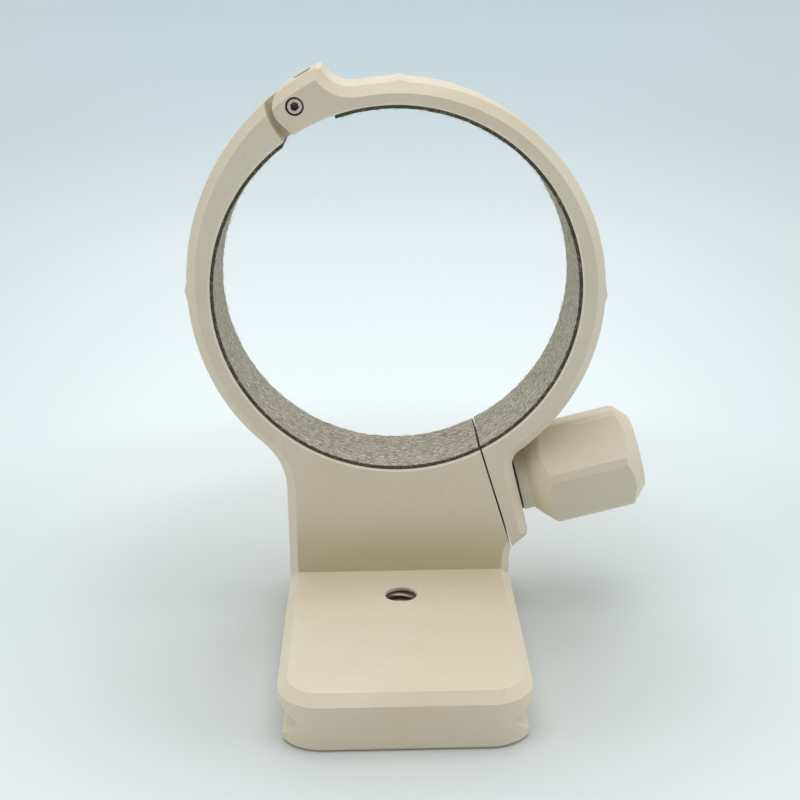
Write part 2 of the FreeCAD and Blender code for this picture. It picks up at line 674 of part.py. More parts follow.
def stud_clip():
    """Open retaining clip that keeps the knob on the arm."""
    clip = SPLIT_ON_SCREW - CLIP_DEPTH
    half = CLIP_THICKNESS / 2.0
    bore = STUD_THREAD_RADIUS - STUD_THREAD_DEPTH - CLIP_GROOVE_DEPTH
    ring = rod(CLIP_RADIUS, clip - half, clip + half)
    ring = ring.cut(rod(bore, clip - half - 1.0, clip + half + 1.0))
    mouth = Part.makeBox(CLIP_OPENING, CLIP_RADIUS * 2.0, CLIP_THICKNESS + 2.0,
                         V(-CLIP_OPENING / 2.0, 0, -CLIP_THICKNESS / 2.0 - 1.0))
    turn = FreeCAD.Rotation(V(0, 0, 1), screw_axis())
    mouth.Placement = FreeCAD.Placement(screw_point(clip), turn)
    return ring.cut(mouth)


def knob_washer():
    """Thin washer between the knob's neck and the lug."""
    ring = rod(WASHER_RADIUS, LUG_FACE, LUG_FACE + WASHER_THICKNESS)
    hole = STUD_THREAD_RADIUS + WASHER_CLEARANCE
    return ring.cut(rod(hole, LUG_FACE - 1.0, LUG_FACE + 2.0))


def clamp_thread_bush():
    """Threaded bush pressed in below the counterbore, thread left out."""
    top = SPLIT_ON_SCREW - COUNTERBORE_DEPTH
    bottom = top - BUSH_LENGTH
    edge = STUD_THREAD_RADIUS + BUSH_CHAMFER
    return turned([(bottom, STUD_THREAD_RADIUS), (bottom, BUSH_RADIUS),
                   (top - BUSH_CHAMFER, BUSH_RADIUS), (top, BUSH_RADIUS - BUSH_CHAMFER),
                   (top, edge), (top - BUSH_CHAMFER, STUD_THREAD_RADIUS)])


def build():
    """All the pieces of the collar by node name."""
    return {
        "base_body": base_body(base_blank()),
        "clamp_arm": clamp_arm(arm_blank()),
        "base_felt": base_felt(),
        "arm_felt": arm_felt(),
        "hinge_pin": hinge_pin(),
        "hinge_grub_screw": hinge_grub_screw(),
        "clamp_knob": clamp_knob(),
        "clamp_stud": clamp_stud(),
        "stud_clip": stud_clip(),
        "knob_washer": knob_washer(),
        "clamp_thread_bush": clamp_thread_bush(),
    }


os.makedirs("parts", exist_ok=True)
for name, shape in build().items():
    shape.exportStep("parts/" + name + ".step")
    print(name, len(shape.Solids), round(shape.Volume, 2), shape.isValid())
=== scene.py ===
"""Looks of a hinged lens tripod collar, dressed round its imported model.

Lengths in the classes are millimetres unless a name says otherwise, and turn
to metres when a mesh is made. The lens axis runs along Y, the foot points
towards -Y and +Z is up.
"""

import logging
import math
import random
from dataclasses import dataclass, field
from enum import Enum

import bmesh
import bpy
from bmesh.types import BMEdge, BMesh, BMVert
from bpy.types import Material, Node, NodeSocket, NodeTree, Object
from mathutils import Matrix, Vector, noise


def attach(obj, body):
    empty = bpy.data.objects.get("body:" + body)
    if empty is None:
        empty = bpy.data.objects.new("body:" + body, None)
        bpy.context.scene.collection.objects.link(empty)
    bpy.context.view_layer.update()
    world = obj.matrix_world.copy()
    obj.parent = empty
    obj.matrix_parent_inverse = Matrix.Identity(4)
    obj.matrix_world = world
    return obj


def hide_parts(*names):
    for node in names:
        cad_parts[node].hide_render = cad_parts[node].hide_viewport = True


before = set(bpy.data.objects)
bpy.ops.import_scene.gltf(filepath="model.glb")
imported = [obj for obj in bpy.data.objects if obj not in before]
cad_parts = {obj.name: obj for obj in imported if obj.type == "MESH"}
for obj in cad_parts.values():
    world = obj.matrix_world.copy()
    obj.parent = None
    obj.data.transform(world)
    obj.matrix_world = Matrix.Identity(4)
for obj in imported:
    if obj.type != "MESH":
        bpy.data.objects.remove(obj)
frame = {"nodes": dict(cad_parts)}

LOG = logging.getLogger("collar")
MM = 0.001
ROOT_SINK_MM = 0.02
MERGE_MM = 0.0005


class Body(Enum):
    """The bodies that pieces ride on."""

    BASE = "base"
    ARM = "arm"
    WASHER = "washer"
    KNOB = "knob"


class Side(Enum):
    """Which way a thread's ridge stands from its root."""

    OUTWARD = 1
    INWARD = -1


def srgb(code: str) -> tuple[float, float, float, float]:
    """Turns an sRGB hex colour to linear RGBA.

    Args:
        code: The colour as "#rrggbb".

    Returns:
        Linear red, green, blue and an alpha of 1.
    """
    channels = [int(code[i : i + 2], 16) / 255.0 for i in (1, 3, 5)]
    linear = [c / 12.92 if c <= 0.04045 else ((c + 0.055) / 1.055) ** 2.4 for c in channels]
    return (*linear, 1.0)


def per_metre(size_mm: float) -> float:
    """Texture scale at which one cell of a pattern measures size_mm."""
    return 1000.0 / size_mm


def fill_inputs(tree: NodeTree, node: Node, inputs: dict) -> None:
    """Sets a node's own input values, and links those that come from a socket."""
    for key, value in inputs.items():
        if isinstance(value, NodeSocket):
            tree.links.new(value, node.inputs[key])
        else:
            node.inputs[key].default_value = value


def add_node(tree: NodeTree, kind: str, inputs: dict | None = None, **settings) -> Node:
    """Adds one shader node with its settings, values and links.

    Args:
        tree: The material's or world's node tree.
        kind: Blender's name for the node type.
        inputs: Values or output sockets, by input name or number.
        settings: Properties of the node itself.

    Returns:
        The new node.
    """
    node = tree.nodes.new(kind)
    for key, value in settings.items():
        setattr(node, key, value)
    fill_inputs(tree, node, inputs or {})
    return node


def object_place(tree: NodeTree) -> NodeSocket:
    """Place on a surface in the piece's own coordinates, in metres."""
    return add_node(tree, "ShaderNodeTexCoord").outputs["Object"]


def mottled(tree: NodeTree, place: NodeSocket, size_mm: float,
            detail: float = 2.0) -> NodeSocket:
    """Value of a noise whose patches measure about size_mm."""
    pattern = add_node(tree, "ShaderNodeTexNoise", {"Vector": place, "Scale": per_metre(size_mm),
                                                    "Detail": detail})
    return pattern.outputs["Fac"]


def raised(tree: NodeTree, height: NodeSocket, strength: float,
           depth_mm: float) -> NodeSocket:
    """Normal of a surface that rises and falls with a pattern."""
    bump = add_node(tree, "ShaderNodeBump", {"Height": height, "Strength": strength,
                                             "Distance": depth_mm * MM})
    return bump.outputs["Normal"]


def new_material(name: str) -> tuple[Material, NodeTree, Node]:
    """Makes a material that holds one Principled shader.

    Args:
        name: The material's name.

    Returns:
        The material, its node tree and the shader node.
    """
    material = bpy.data.materials.new(name)
    material.use_nodes = True
    tree = material.node_tree
    tree.nodes.clear()
    shader = add_node(tree, "ShaderNodeBsdfPrincipled")
    add_node(tree, "ShaderNodeOutputMaterial", {"Surface": shader.outputs["BSDF"]})
    return material, tree, shader


def two_tones(tree: NodeTree, amount: NodeSocket, low: str | NodeSocket,
              high: str | NodeSocket, window: tuple[float, float]) -> NodeSocket:
    """Blends two colours where a pattern passes through a window of values.

    Args:
        tree: The node tree.
        amount: The pattern's value.
        low: Colour below the window, as hex or a socket.
        high: Colour above the window, as hex or a socket.
        window: Pattern values at which the blend starts and ends.

    Returns:
        The colour socket.
    """
    share = add_node(tree, "ShaderNodeMapRange", {"Value": amount, "From Min": window[0],
                                                  "From Max": window[1]},
                     interpolation_type="SMOOTHSTEP")
    ends = [srgb(end) if isinstance(end, str) else end for end in (low, high)]
    mix = add_node(tree, "ShaderNodeMix", {"Factor": share.outputs["Result"], 6: ends[0], 7: ends[1]},
                   data_type="RGBA")
    return mix.outputs[2]


@dataclass(frozen=True)
class SatinEnamel:
    """Two-pack enamel sprayed on machined aluminium.

    The coat is satin, so edges carry a soft sheen. Its orange peel is about
    0.35 mm across and shows where light grazes the faces, and the tone drifts
    slightly over a centimetre or two. The mottle follows the peel; its
    strength was matched to the photograph, whose own grain may be part of it.
    painted_shade isn't part of the finish: see _painted_shade_near_foot.
    """

    name: str = "satin_enamel"
    colour: str = "#dfd5bf"
    warm_drift: str = "#dcd0b7"
    # Colour of the painted highlight on the bore's sharp rims.
    bore_rim_highlight: str = "#e9e2d0"
    speck: str = "#a4977b"
    mottle: str = "#d5c9b0"
    painted_shade: str | None = None
    roughness: float = 0.44
    gloss_spread: tuple[float, float] = (0.05, 0.06)
    ior: float = 1.5
    peel_mm: float = 0.35
    peel_depth_mm: float = 0.03
    peel_strength: float = 0.4
    drift_mm: float = 16.0
    speck_spacing_mm: float = 7.0
    speck_rarity: float = 0.8
    speck_fade: tuple[float, float] = (0.02, 0.055)
    speck_strength: float = 0.55
    # Extent of the painted rim highlight, out from the bore and in from each face.
    rim_highlight_width: tuple[float, float] = (0.42, 0.18)
    rim_highlight_depth: tuple[float, float] = (0.34, 0.18)
    bore_radius: float = 31.5
    axis_height: float = 60.0
    ring_half_width: float = 8.5
    foot_thickness: float = 9.2
    shade_top: float = 25.0
    shade_behind_face: tuple[float, float] = (0.3, 0.05)
    shade_above_foot: tuple[float, float] = (0.02, 0.2)

    def material(self) -> Material:
        """Builds the enamel, with a painted highlight on the bore's rims and a few dirt specks."""
        material, tree, shader = new_material(self.name)
        place = object_place(tree)
        drift = mottled(tree, place, self.drift_mm, 3.0)
        tone = two_tones(tree, drift, self.colour, self.warm_drift, (0.42, 0.72))
        tone = self._specks(tree, place, tone)
        # Painted highlight along the bore's rims.
        tone = self._painted_bore_rim_highlight(tree, place, tone)
        if self.painted_shade is not None:
            tone = self._painted_shade_near_foot(tree, place, tone)
        peel = mottled(tree, place, self.peel_mm)
        tone = two_tones(tree, peel, tone, self.mottle, (0.5, 0.85))
        smoother, duller = self.gloss_spread
        gloss = add_node(tree, "ShaderNodeMapRange", {"Value": drift, "From Min": 0.3, "From Max": 0.7,
                                                      "To Min": self.roughness - smoother,
                                                      "To Max": self.roughness + duller})
        fill_inputs(tree, shader, {"Base Color": tone, "Roughness": gloss.outputs["Result"],
                                   "Normal": raised(tree, peel, self.peel_strength, self.peel_depth_mm),
                                   "IOR": self.ior})
        return material

    def _specks(self, tree: NodeTree, place: NodeSocket,
                tone: NodeSocket) -> NodeSocket:
        """Sets a few tiny dirt specks, about 0.3 mm wide, into the tone."""
        cells = add_node(tree, "ShaderNodeTexVoronoi", {"Vector": place,
                                                        "Scale": per_metre(self.speck_spacing_mm)})
        chosen = add_node(tree, "ShaderNodeSeparateColor", {"Color": cells.outputs["Color"]})
        rare = add_node(tree, "ShaderNodeMath", {0: chosen.outputs["Red"], 1: self.speck_rarity},
                        operation="GREATER_THAN")
        full, gone = self.speck_fade
        near = add_node(tree, "ShaderNodeMapRange", {"Value": cells.outputs["Distance"],
                                                     "From Min": full, "From Max": gone,
                                                     "To Min": self.speck_strength, "To Max": 0.0})
        spot = add_node(tree, "ShaderNodeMath", {0: rare.outputs[0], 1: near.outputs["Result"]},
                        operation="MULTIPLY")
        return two_tones(tree, spot.outputs[0], tone, self.speck, (0.0, 1.0))

    def _painted_bore_rim_highlight(self, tree: NodeTree, place: NodeSocket,
                       tone: NodeSocket) -> NodeSocket:
        """Paints a highlight on the sharp rim where the bore meets each face of the ring."""
        centred = add_node(tree, "ShaderNodeVectorMath", {0: place, 1: (0.0, 0.0, self.axis_height * MM)},
                           operation="SUBTRACT")
        across = add_node(tree, "ShaderNodeVectorMath", {0: centred.outputs[0], 1: (1.0, 0.0, 1.0)},
                          operation="MULTIPLY")
        radius = add_node(tree, "ShaderNodeVectorMath", {0: across.outputs[0]}, operation="LENGTH")
        outer, inner = self.rim_highlight_width
        edge = add_node(tree, "ShaderNodeMapRange", {"Value": radius.outputs["Value"],
                                                     "From Min": (self.bore_radius + outer) * MM,
                                                     "From Max": (self.bore_radius + inner) * MM})
        axial = add_node(tree, "ShaderNodeSeparateXYZ", {"Vector": place})
        depth = add_node(tree, "ShaderNodeMath", {0: axial.outputs["Y"]}, operation="ABSOLUTE")
        deep, shallow = self.rim_highlight_depth
        face = add_node(tree, "ShaderNodeMapRange", {"Value": depth.outputs[0],
                                                     "From Min": (self.ring_half_width - deep) * MM,
                                                     "From Max": (self.ring_half_width - shallow) * MM})
        both = add_node(tree, "ShaderNodeMath", {0: edge.outputs["Result"], 1: face.outputs["Result"]},
                        operation="MULTIPLY")
        return two_tones(tree, both.outputs[0], tone, self.bore_rim_highlight, (0.1, 0.9))

    def _painted_shade_near_foot(self, tree: NodeTree, place: NodeSocket,
                                 tone: NodeSocket) -> NodeSocket:
        """Darkens the pedestal's front face towards the foot in the base colour itself.

        The photograph shows that face in shade, which the lamps here don't
        give, so this paints it on. It isn't dirt or a finish, and it looks
        wrong under other light. Without painted_shade the coat is plain.
        """
        ends = add_node(tree, "ShaderNodeSeparateXYZ", {"Vector": place})
        near_foot = add_node(tree, "ShaderNodeMapRange", {"Value": ends.outputs["Z"],
                                                          "From Min": self.shade_top * MM,
                                                          "From Max": self.foot_thickness * MM},
                             interpolation_type="SMOOTHSTEP")
        low, high = self.shade_above_foot
        above_foot = add_node(tree, "ShaderNodeMapRange", {"Value": ends.outputs["Z"],
                                                           "From Min": (self.foot_thickness + low) * MM,
                                                           "From Max": (self.foot_thickness + high) * MM})
        behind, skin = self.shade_behind_face
        facing = add_node(tree, "ShaderNodeMapRange", {"Value": ends.outputs["Y"],
                                                       "From Min": (behind - self.ring_half_width) * MM,
                                                       "From Max": (skin - self.ring_half_width) * MM})
        band = add_node(tree, "ShaderNodeMath", {0: near_foot.outputs["Result"],
                                                 1: above_foot.outputs["Result"]}, operation="MULTIPLY")
        both = add_node(tree, "ShaderNodeMath", {0: band.outputs[0], 1: facing.outputs["Result"]},
                        operation="MULTIPLY")
        return two_tones(tree, both.outputs[0], tone, self.painted_shade, (0.0, 1.0))


@dataclass(frozen=True)
class WoolFelt:
    """Pressed wool felt, grey, cut from sheet and glued in.

    Matted fibres lie mostly along the strip in streaks about 1 mm long.
    Single fibres of 0.03 mm are too fine to show, so they are drawn as
    bundles 0.3 mm wide. The spread from dark to pale was matched to the
    photograph, whose own grain may be part of it.
    """

    name: str = "pressed_wool_felt"
    dark: str = "#423d30"
    mid: str = "#a8a18a"
    pale: str = "#f7f2e2"
    streak_mm: tuple[float, float] = (0.95, 0.29)
    lay_deg: float = 9.0
    stray_deg: float = -38.0
    stray_share: float = 0.34
    blotch_mm: float = 3.2
    nap_strength: float = 0.8
    nap_mm: float = 0.12
    roughness: float = 0.95
    sheen: tuple[float, float] = (0.25, 0.5)

    def material(self, strip_map: str) -> Material:
        """Builds the felt's face on a UV map measured in metres along the strip."""
        material, tree, shader = new_material(self.name)
        place = add_node(tree, "ShaderNodeUVMap", uv_map=strip_map).outputs["UV"]
        length, width = self.streak_mm
        along = add_node(tree, "ShaderNodeMapping", {"Vector": place,
                                                     "Rotation": (0.0, 0.0, math.radians(self.lay_deg)),
                                                     "Scale": (per_metre(length), per_metre(width), 1.0)})
        streak = add_node(tree, "ShaderNodeTexNoise", {"Vector": along.outputs[0], "Scale": 1.0,
                                                       "Detail": 4.0, "Roughness": 0.62,
                                                       "Distortion": 1.1})
        cross = add_node(tree, "ShaderNodeMapping", {"Vector": place,
                                                     "Rotation": (0.0, 0.0, math.radians(self.stray_deg)),
                                                     "Scale": (per_metre(length * 0.7),
                                                               per_metre(width * 0.8), 1.0)})
        stray = add_node(tree, "ShaderNodeTexNoise", {"Vector": cross.outputs[0], "Scale": 1.0,
                                                      "Detail": 3.0, "Distortion": 1.6})
        matted = add_node(tree, "ShaderNodeMix", {"Factor": self.stray_share, 2: streak.outputs["Fac"],
                                                  3: stray.outputs["Fac"]})
        shade = two_tones(tree, matted.outputs[0], self.dark, self.mid, (0.38, 0.51))
        shade = two_tones(tree, matted.outputs[0], shade, self.pale, (0.51, 0.64))
        worn = two_tones(tree, mottled(tree, place, self.blotch_mm), shade, self.mid, (0.5, 0.95))
        sheen_weight, sheen_roughness = self.sheen
        fill_inputs(tree, shader, {"Base Color": worn, "Roughness": self.roughness,
                                   "Normal": raised(tree, matted.outputs[0], self.nap_strength, self.nap_mm),
                                   "Sheen Weight": sheen_weight, "Sheen Roughness": sheen_roughness})
        return material


@dataclass(frozen=True)
class DarkFeltEdge:
    """Knife-cut edge of the felt, coloured dark."""

    name: str = "dark_felt_edge"
    dark: str = "#4c4637"
    fuzz: str = "#8a8169"
    tuft_mm: float = 0.45
    tuft_depth_mm: float = 0.08
    roughness: float = 0.9

    def material(self) -> Material:
        """Builds the dark edge with a few paler tufts of loose wool."""
        material, tree, shader = new_material(self.name)
        tufts = mottled(tree, object_place(tree), self.tuft_mm, 3.0)
        tone = two_tones(tree, tufts, self.dark, self.fuzz, (0.5, 0.72))
        fill_inputs(tree, shader, {"Base Color": tone, "Roughness": self.roughness,
                                   "Normal": raised(tree, tufts, 0.7, self.tuft_depth_mm)})
        return material


@dataclass(frozen=True)
class LooseWool:
    """Loose wool fibres standing off the felt, pale where they catch light."""

    name: str = "loose_wool"
    pale: str = "#cfcabb"
    grey: str = "#8f8a7d"
    drift_mm: float = 1.1
    roughness: float = 0.9
    sheen: float = 0.3

    def material(self) -> Material:
        """Builds the fibre tone, which drifts from tuft to tuft."""
        material, tree, shader = new_material(self.name)
        drift = mottled(tree, object_place(tree), self.drift_mm)
        tone = two_tones(tree, drift, self.grey, self.pale, (0.38, 0.62))
        fill_inputs(tree, shader, {"Base Color": tone, "Roughness": self.roughness,
                                   "Sheen Weight": self.sheen})
        return material


@dataclass(frozen=True)
class MachinedMetal:
    """Turned or drawn metal, bare or plated, with its fine tool marks.

    Marks of 0.05 mm are too fine to show and are drawn at marks_mm. The
    tones of the set screw and the tripod thread were matched to the photograph.
    """

    name: str
    colour: str
    stain: str
    roughness: float
    marks_mm: float = 0.25
    stain_mm: float = 2.5
    marks_depth_mm: float = 0.02
    gloss_spread: tuple[float, float] = (0.75, 1.35)

    def material(self) -> Material:
        """Builds the metal with tool marks and a faint tarnish."""
        material, tree, shader = new_material(self.name)
        place = object_place(tree)
        marks = mottled(tree, place, self.marks_mm)
        tarnish = mottled(tree, place, self.stain_mm, 3.0)
        tone = two_tones(tree, tarnish, self.colour, self.stain, (0.48, 0.75))
        smoother, duller = self.gloss_spread
        gloss = add_node(tree, "ShaderNodeMapRange", {"Value": marks, "To Min": self.roughness * smoother,
                                                      "To Max": self.roughness * duller})
        fill_inputs(tree, shader, {"Base Color": tone, "Roughness": gloss.outputs["Result"],
                                   "Normal": raised(tree, marks, 0.25, self.marks_depth_mm),
                                   "Metallic": 1.0})
        return material


@dataclass(frozen=True)
class ShadedNylonWasher:
    """Stamped nylon washer, near black as painted shade in its gap, faintly scuffed by turning."""

    name: str = "nylon_washer_painted_shade"
    # Near black: painted shade for the narrow gap between lug and knob.
    colour: str = "#2b2823"
    scuff: str = "#4a463e"
    scuff_mm: float = 0.8
    scuff_depth_mm: float = 0.02
    roughness: float = 0.5

    def material(self) -> Material:
        """Builds the nylon with its scuffs."""
        material, tree, shader = new_material(self.name)
        scuffs = mottled(tree, object_place(tree), self.scuff_mm, 3.0)
        tone = two_tones(tree, scuffs, self.colour, self.scuff, (0.5, 0.75))
        fill_inputs(tree, shader, {"Base Color": tone, "Roughness": self.roughness,
                                   "Normal": raised(tree, scuffs, 0.3, self.scuff_depth_mm)})
        return material


def finish_mesh(name: str, shape: BMesh, place: Matrix | None = None,
                smooth_deg: float | None = 35.0, finishes: tuple[Material, ...] = ()) -> Object:
    """Turns a millimetre bmesh into an object at the origin, in metres.

    Args:
        name: Name of the piece.
        shape: The bmesh, which is freed.
        place: Placement in millimetres, put into the mesh.
        smooth_deg: Edges sharper than this stay crisp, or None for flat faces.
        finishes: Materials, in the order of the faces' numbers.

    Returns:
        The new object.
    """
    scale = Matrix.Scale(MM, 4)
    bmesh.ops.transform(shape, matrix=scale @ (place or Matrix.Identity(4)), verts=shape.verts)
    mesh = bpy.data.meshes.new(name)
    shape.to_mesh(mesh)
    shape.free()
    if smooth_deg is not None:
        mesh.shade_smooth()
        mesh.set_sharp_from_angle(angle=math.radians(smooth_deg))
    for finish in finishes:
        mesh.materials.append(finish)
    piece = bpy.data.objects.new(name, mesh)
    bpy.context.scene.collection.objects.link(piece)
    return piece


def pour(part: BMesh, whole: BMesh) -> None:
    """Adds one bmesh to another and frees it."""
    spare = bpy.data.meshes.new("spare")
    part.to_mesh(spare)
    part.free()
    whole.from_mesh(spare)
    bpy.data.meshes.remove(spare)


def extrude_rim(shape: BMesh, rim: list[BMEdge]) -> tuple[list[BMVert], list[BMEdge]]:
    """Extrudes a rim in place and returns the new rim's corners and edges."""
    made = bmesh.ops.extrude_edge_only(shape, edges=rim)["geom"]
    verts = [item for item in made if isinstance(item, BMVert)]
    edges = [item for item in made if isinstance(item, BMEdge)
             and all(vert in verts for vert in item.verts)]
    return verts, edges


def close_and_turn_out(shape: BMesh) -> None:
    """Fills open ends, merges doubles and points every face outwards."""
    bmesh.ops.remove_doubles(shape, verts=shape.verts, dist=MERGE_MM)
    rims = [edge for edge in shape.edges if edge.is_boundary]
    if rims:
        bmesh.ops.holes_fill(shape, edges=rims, sides=0)
    bmesh.ops.recalc_face_normals(shape, faces=shape.faces)


@dataclass
class HelicalRidge:
    """One start of a right-hand screw thread as a closed helical ridge.

    The axis is local Z. The ridge is cut square at both ends.
    """

    root_radius: float
    crest_radius: float
    pitch: float
    start: float
    end: float
    side: Side = Side.OUTWARD
    phase: float = 0.0
    root_share: float = 0.86
    crest_share: float = 0.16
    steps_per_turn: int = 36

    def add_to(self, shape: BMesh) -> None:
        """Adds the ridge to a bmesh, in millimetres."""
        ridge = bmesh.new()
        turns = (self.end - self.start) / self.pitch + 2.0
        low = self.start - self.pitch + self.phase * self.pitch
        root, crest = self.root_share * self.pitch / 2.0, self.crest_share * self.pitch / 2.0
        outline = [(self.root_radius, -root), (self.crest_radius, -crest),
                   (self.crest_radius, crest), (self.root_radius, root)]
        corners = [ridge.verts.new((radius, 0.0, low + rise)) for radius, rise in outline]
        section = ridge.faces.new(corners)
        steps = int(math.ceil(turns * self.steps_per_turn))
        bmesh.ops.spin(ridge, geom=[section, *section.edges, *corners], cent=(0.0, 0.0, 0.0),
                       axis=(0.0, 0.0, 1.0), dvec=(0.0, 0.0, turns * self.pitch / steps),
                       angle=turns * 2.0 * math.pi, steps=steps, use_duplicate=False)
        self._square_ends(ridge)
        pour(ridge, shape)

    def _square_ends(self, ridge: BMesh) -> None:
        """Cuts the ridge off at its two end planes and closes the cuts."""
        for height, normal in ((self.start, (0.0, 0.0, -1.0)), (self.end, (0.0, 0.0, 1.0))):
            geometry = [*ridge.verts, *ridge.edges, *ridge.faces]
            bmesh.ops.bisect_plane(ridge, geom=geometry, plane_co=(0.0, 0.0, height),
                                   plane_no=normal, clear_outer=True)
        close_and_turn_out(ridge)


def add_tube(shape: BMesh, outline: list[tuple[float, float]], segments: int) -> None:
    """Spins a closed outline into a ring round local Z.

    Args:
        shape: The bmesh to add to.
        outline: Corners as (radius, height), in order.
        segments: Faces round the ring.
    """
    ring = bmesh.new()
    corners = [ring.verts.new((radius, 0.0, height)) for radius, height in outline]
    edges = [ring.edges.new((corners[i - 1], corners[i])) for i in range(len(corners))]
    bmesh.ops.spin(ring, geom=[*corners, *edges], cent=(0.0, 0.0, 0.0), axis=(0.0, 0.0, 1.0),
                   angle=2.0 * math.pi, steps=segments, use_merge=True, use_duplicate=False)
    bmesh.ops.remove_doubles(ring, verts=ring.verts, dist=MERGE_MM)
    bmesh.ops.recalc_face_normals(ring, faces=ring.faces)
    pour(ring, shape)


@dataclass
class FeltStrip:
    """One felt lining, glued to the bore between two angles.

    The strip is spun from its profile line, given its thickness, eased at
    its rims, and its face is matted with low bumps.
    """

    name: str
    node: str
    body: Body
    start_deg: float
    end_deg: float
    seed: int
    lens_radius: float = 30.85
    bore_radius: float = 31.5
    half_width: float = 7.9
    axis_height: float = 60.0
    grid_mm: float = 0.42
    glue_mm: float = 0.01
    eased_mm: float = 0.16
    lump_mm: float = 0.05
    lump_spread_mm: float = 1.1
    rim_band_mm: float = 0.25
    rim_unevenness: float = 1.6
    strip_map: str = "strip"

    def build(self, face: Material, edge: Material) -> Object:
        """Builds the strip, rides it on its body and hides the model's felt node.

        Args:
            face: Material of the felt's face.
            edge: Material of its cut, glued edges.

        Returns:
            The finished strip.
        """
        shape = bmesh.new()
        self._spin_face(shape)
        self._thicken(shape)
        self._ease_rims(shape)
        self._lay_map(shape)
        self._mat_face(shape)
        self._mark_cut_edges(shape)
        strip = finish_mesh(self.name, shape, Matrix.Translation((0.0, 0.0, self.axis_height)), 60.0,
                            (face, edge))
        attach(strip, self.body.value)
        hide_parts(self.node)
        return strip

    def _spin_face(self, shape: BMesh) -> None:
        """Spins the line across the strip through its arc."""
        start = math.radians(self.start_deg)
        x, z = self.lens_radius * math.cos(start), self.lens_radius * math.sin(start)
        ends = [shape.verts.new((x, y, z)) for y in (-self.half_width, self.half_width)]
        line = shape.edges.new(ends)
        cuts = int(round(2.0 * self.half_width / self.grid_mm)) - 1
        bmesh.ops.subdivide_edges(shape, edges=[line], cuts=cuts)
        sweep = math.radians(self.end_deg - self.start_deg)
        steps = int(round(sweep * self.lens_radius / self.grid_mm))
        bmesh.ops.spin(shape, geom=[*shape.verts, *shape.edges], cent=(0.0, 0.0, 0.0),
                       axis=(0.0, -1.0, 0.0), angle=sweep, steps=steps, use_duplicate=False)

    def _thicken(self, shape: BMesh) -> None:
        """Gives the strip its thickness, from the lens outwards to the bore."""
        bmesh.ops.recalc_face_normals(shape, faces=shape.faces)
        first = next(iter(shape.faces))
        centre = first.calc_center_median()
        towards_lens = -Vector((centre.x, 0.0, centre.z))
        if first.normal.dot(towards_lens) > 0.0:
            bmesh.ops.reverse_faces(shape, faces=shape.faces)
        thickness = self.bore_radius - self.lens_radius - self.glue_mm
        bmesh.ops.solidify(shape, geom=shape.faces[:], thickness=-thickness)
        bmesh.ops.recalc_face_normals(shape, faces=shape.faces)

    def _ease_rims(self, shape: BMesh) -> None:
        """Rounds the strip's rims on the lens side."""
        rims = []
        for corner in shape.edges:
            radii = [math.hypot(v.co.x, v.co.z) for v in corner.verts]
            if max(radii) > self.lens_radius + 0.1 or len(corner.link_faces) != 2:
                continue
            if corner.calc_face_angle(0.0) > math.radians(60.0):
                rims.append(corner)
        bmesh.ops.bevel(shape, geom=rims, offset=self.eased_mm, offset_type="OFFSET", segments=2,
                        profile=0.5, affect="EDGES", material=-1)

    def _lay_map(self, shape: BMesh) -> None:
        """Lays a map in metres: length along the strip and place across it."""
        layer = shape.loops.layers.uv.new(self.strip_map)
        for patch in shape.faces:
            for loop in patch.loops:
                turn = (math.atan2(loop.vert.co.z, loop.vert.co.x) - math.radians(self.start_deg)) % (
                    2.0 * math.pi)
                if turn > 1.9 * math.pi:
                    turn -= 2.0 * math.pi
                loop[layer].uv = (turn * self.lens_radius * MM, loop.vert.co.y * MM)

    def _mat_face(self, shape: BMesh) -> None:
        """Moves the lens side in and out by a few hundredths, as matted wool is."""
        for vert in shape.verts:
            radius = math.hypot(vert.co.x, vert.co.z)
            if radius > self.bore_radius - 0.2:
                continue
            spot = vert.co / self.lump_spread_mm + Vector((self.seed, 0.0, 0.0))
            lift = (noise.noise(spot) + 0.5 * noise.noise(spot * 2.3)) * self.lump_mm
            share = (radius - lift) / radius
            vert.co.x *= share
            vert.co.z *= share
            if abs(vert.co.y) > self.half_width - self.rim_band_mm:
                vert.co.y += self.rim_unevenness * lift * math.copysign(1.0, vert.co.y)

    def _mark_cut_edges(self, shape: BMesh) -> None:
        """Gives the cut edges the second material."""
        for patch in shape.faces:
            centre = patch.calc_center_median()
            radial = Vector((centre.x, 0.0, centre.z)).normalized()
            if abs(patch.normal.dot(radial)) < 0.55:
                patch.material_index = 1


